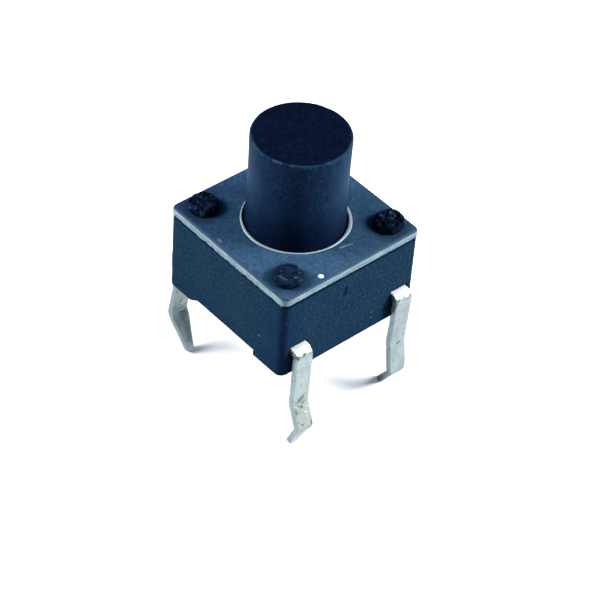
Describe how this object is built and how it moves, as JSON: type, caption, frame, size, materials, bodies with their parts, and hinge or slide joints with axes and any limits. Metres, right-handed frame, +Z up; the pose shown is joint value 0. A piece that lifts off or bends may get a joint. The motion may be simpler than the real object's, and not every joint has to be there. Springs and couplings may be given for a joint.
{
  "type": "tactile push switch",
  "caption": "Square through-hole tactile push switch with a tall round plunger, a staked steel cover and crimped solder legs.",
  "frame": {"origin": "middle of the base, on the face that sits on the circuit board", "axes": "+Z up along the plunger, out of the board; the legs leave the +X and -X faces; -Y is the front face"},
  "size_m": [0.0073, 0.006, 0.0106],
  "materials": {
    "base_moulding": "matt moulded, dark blue-grey",
    "terminal_strip": "tin plated, smudged",
    "dome_steel": "bright spring steel",
    "plunger_moulding": "matt moulded, near black",
    "cover_steel": "dull plated, bright at its edges"
  },
  "bodies": {
    "housing": {"base": "base_moulding", "cover_plate": "cover_steel", "front_terminal": "terminal_strip", "rear_terminal": "terminal_strip", "contact_dome": "dome_steel"},
    "plunger": {"plunger": "plunger_moulding"}
  },
  "joints": [
    {"name": "plunger_slide", "type": "slide", "parent": "housing", "child": "plunger", "axis": [0, 0, -1], "range_m": [0, 0.00025], "stiffness_N_per_m": 6400, "deforming": ["contact_dome"]}
  ]
}
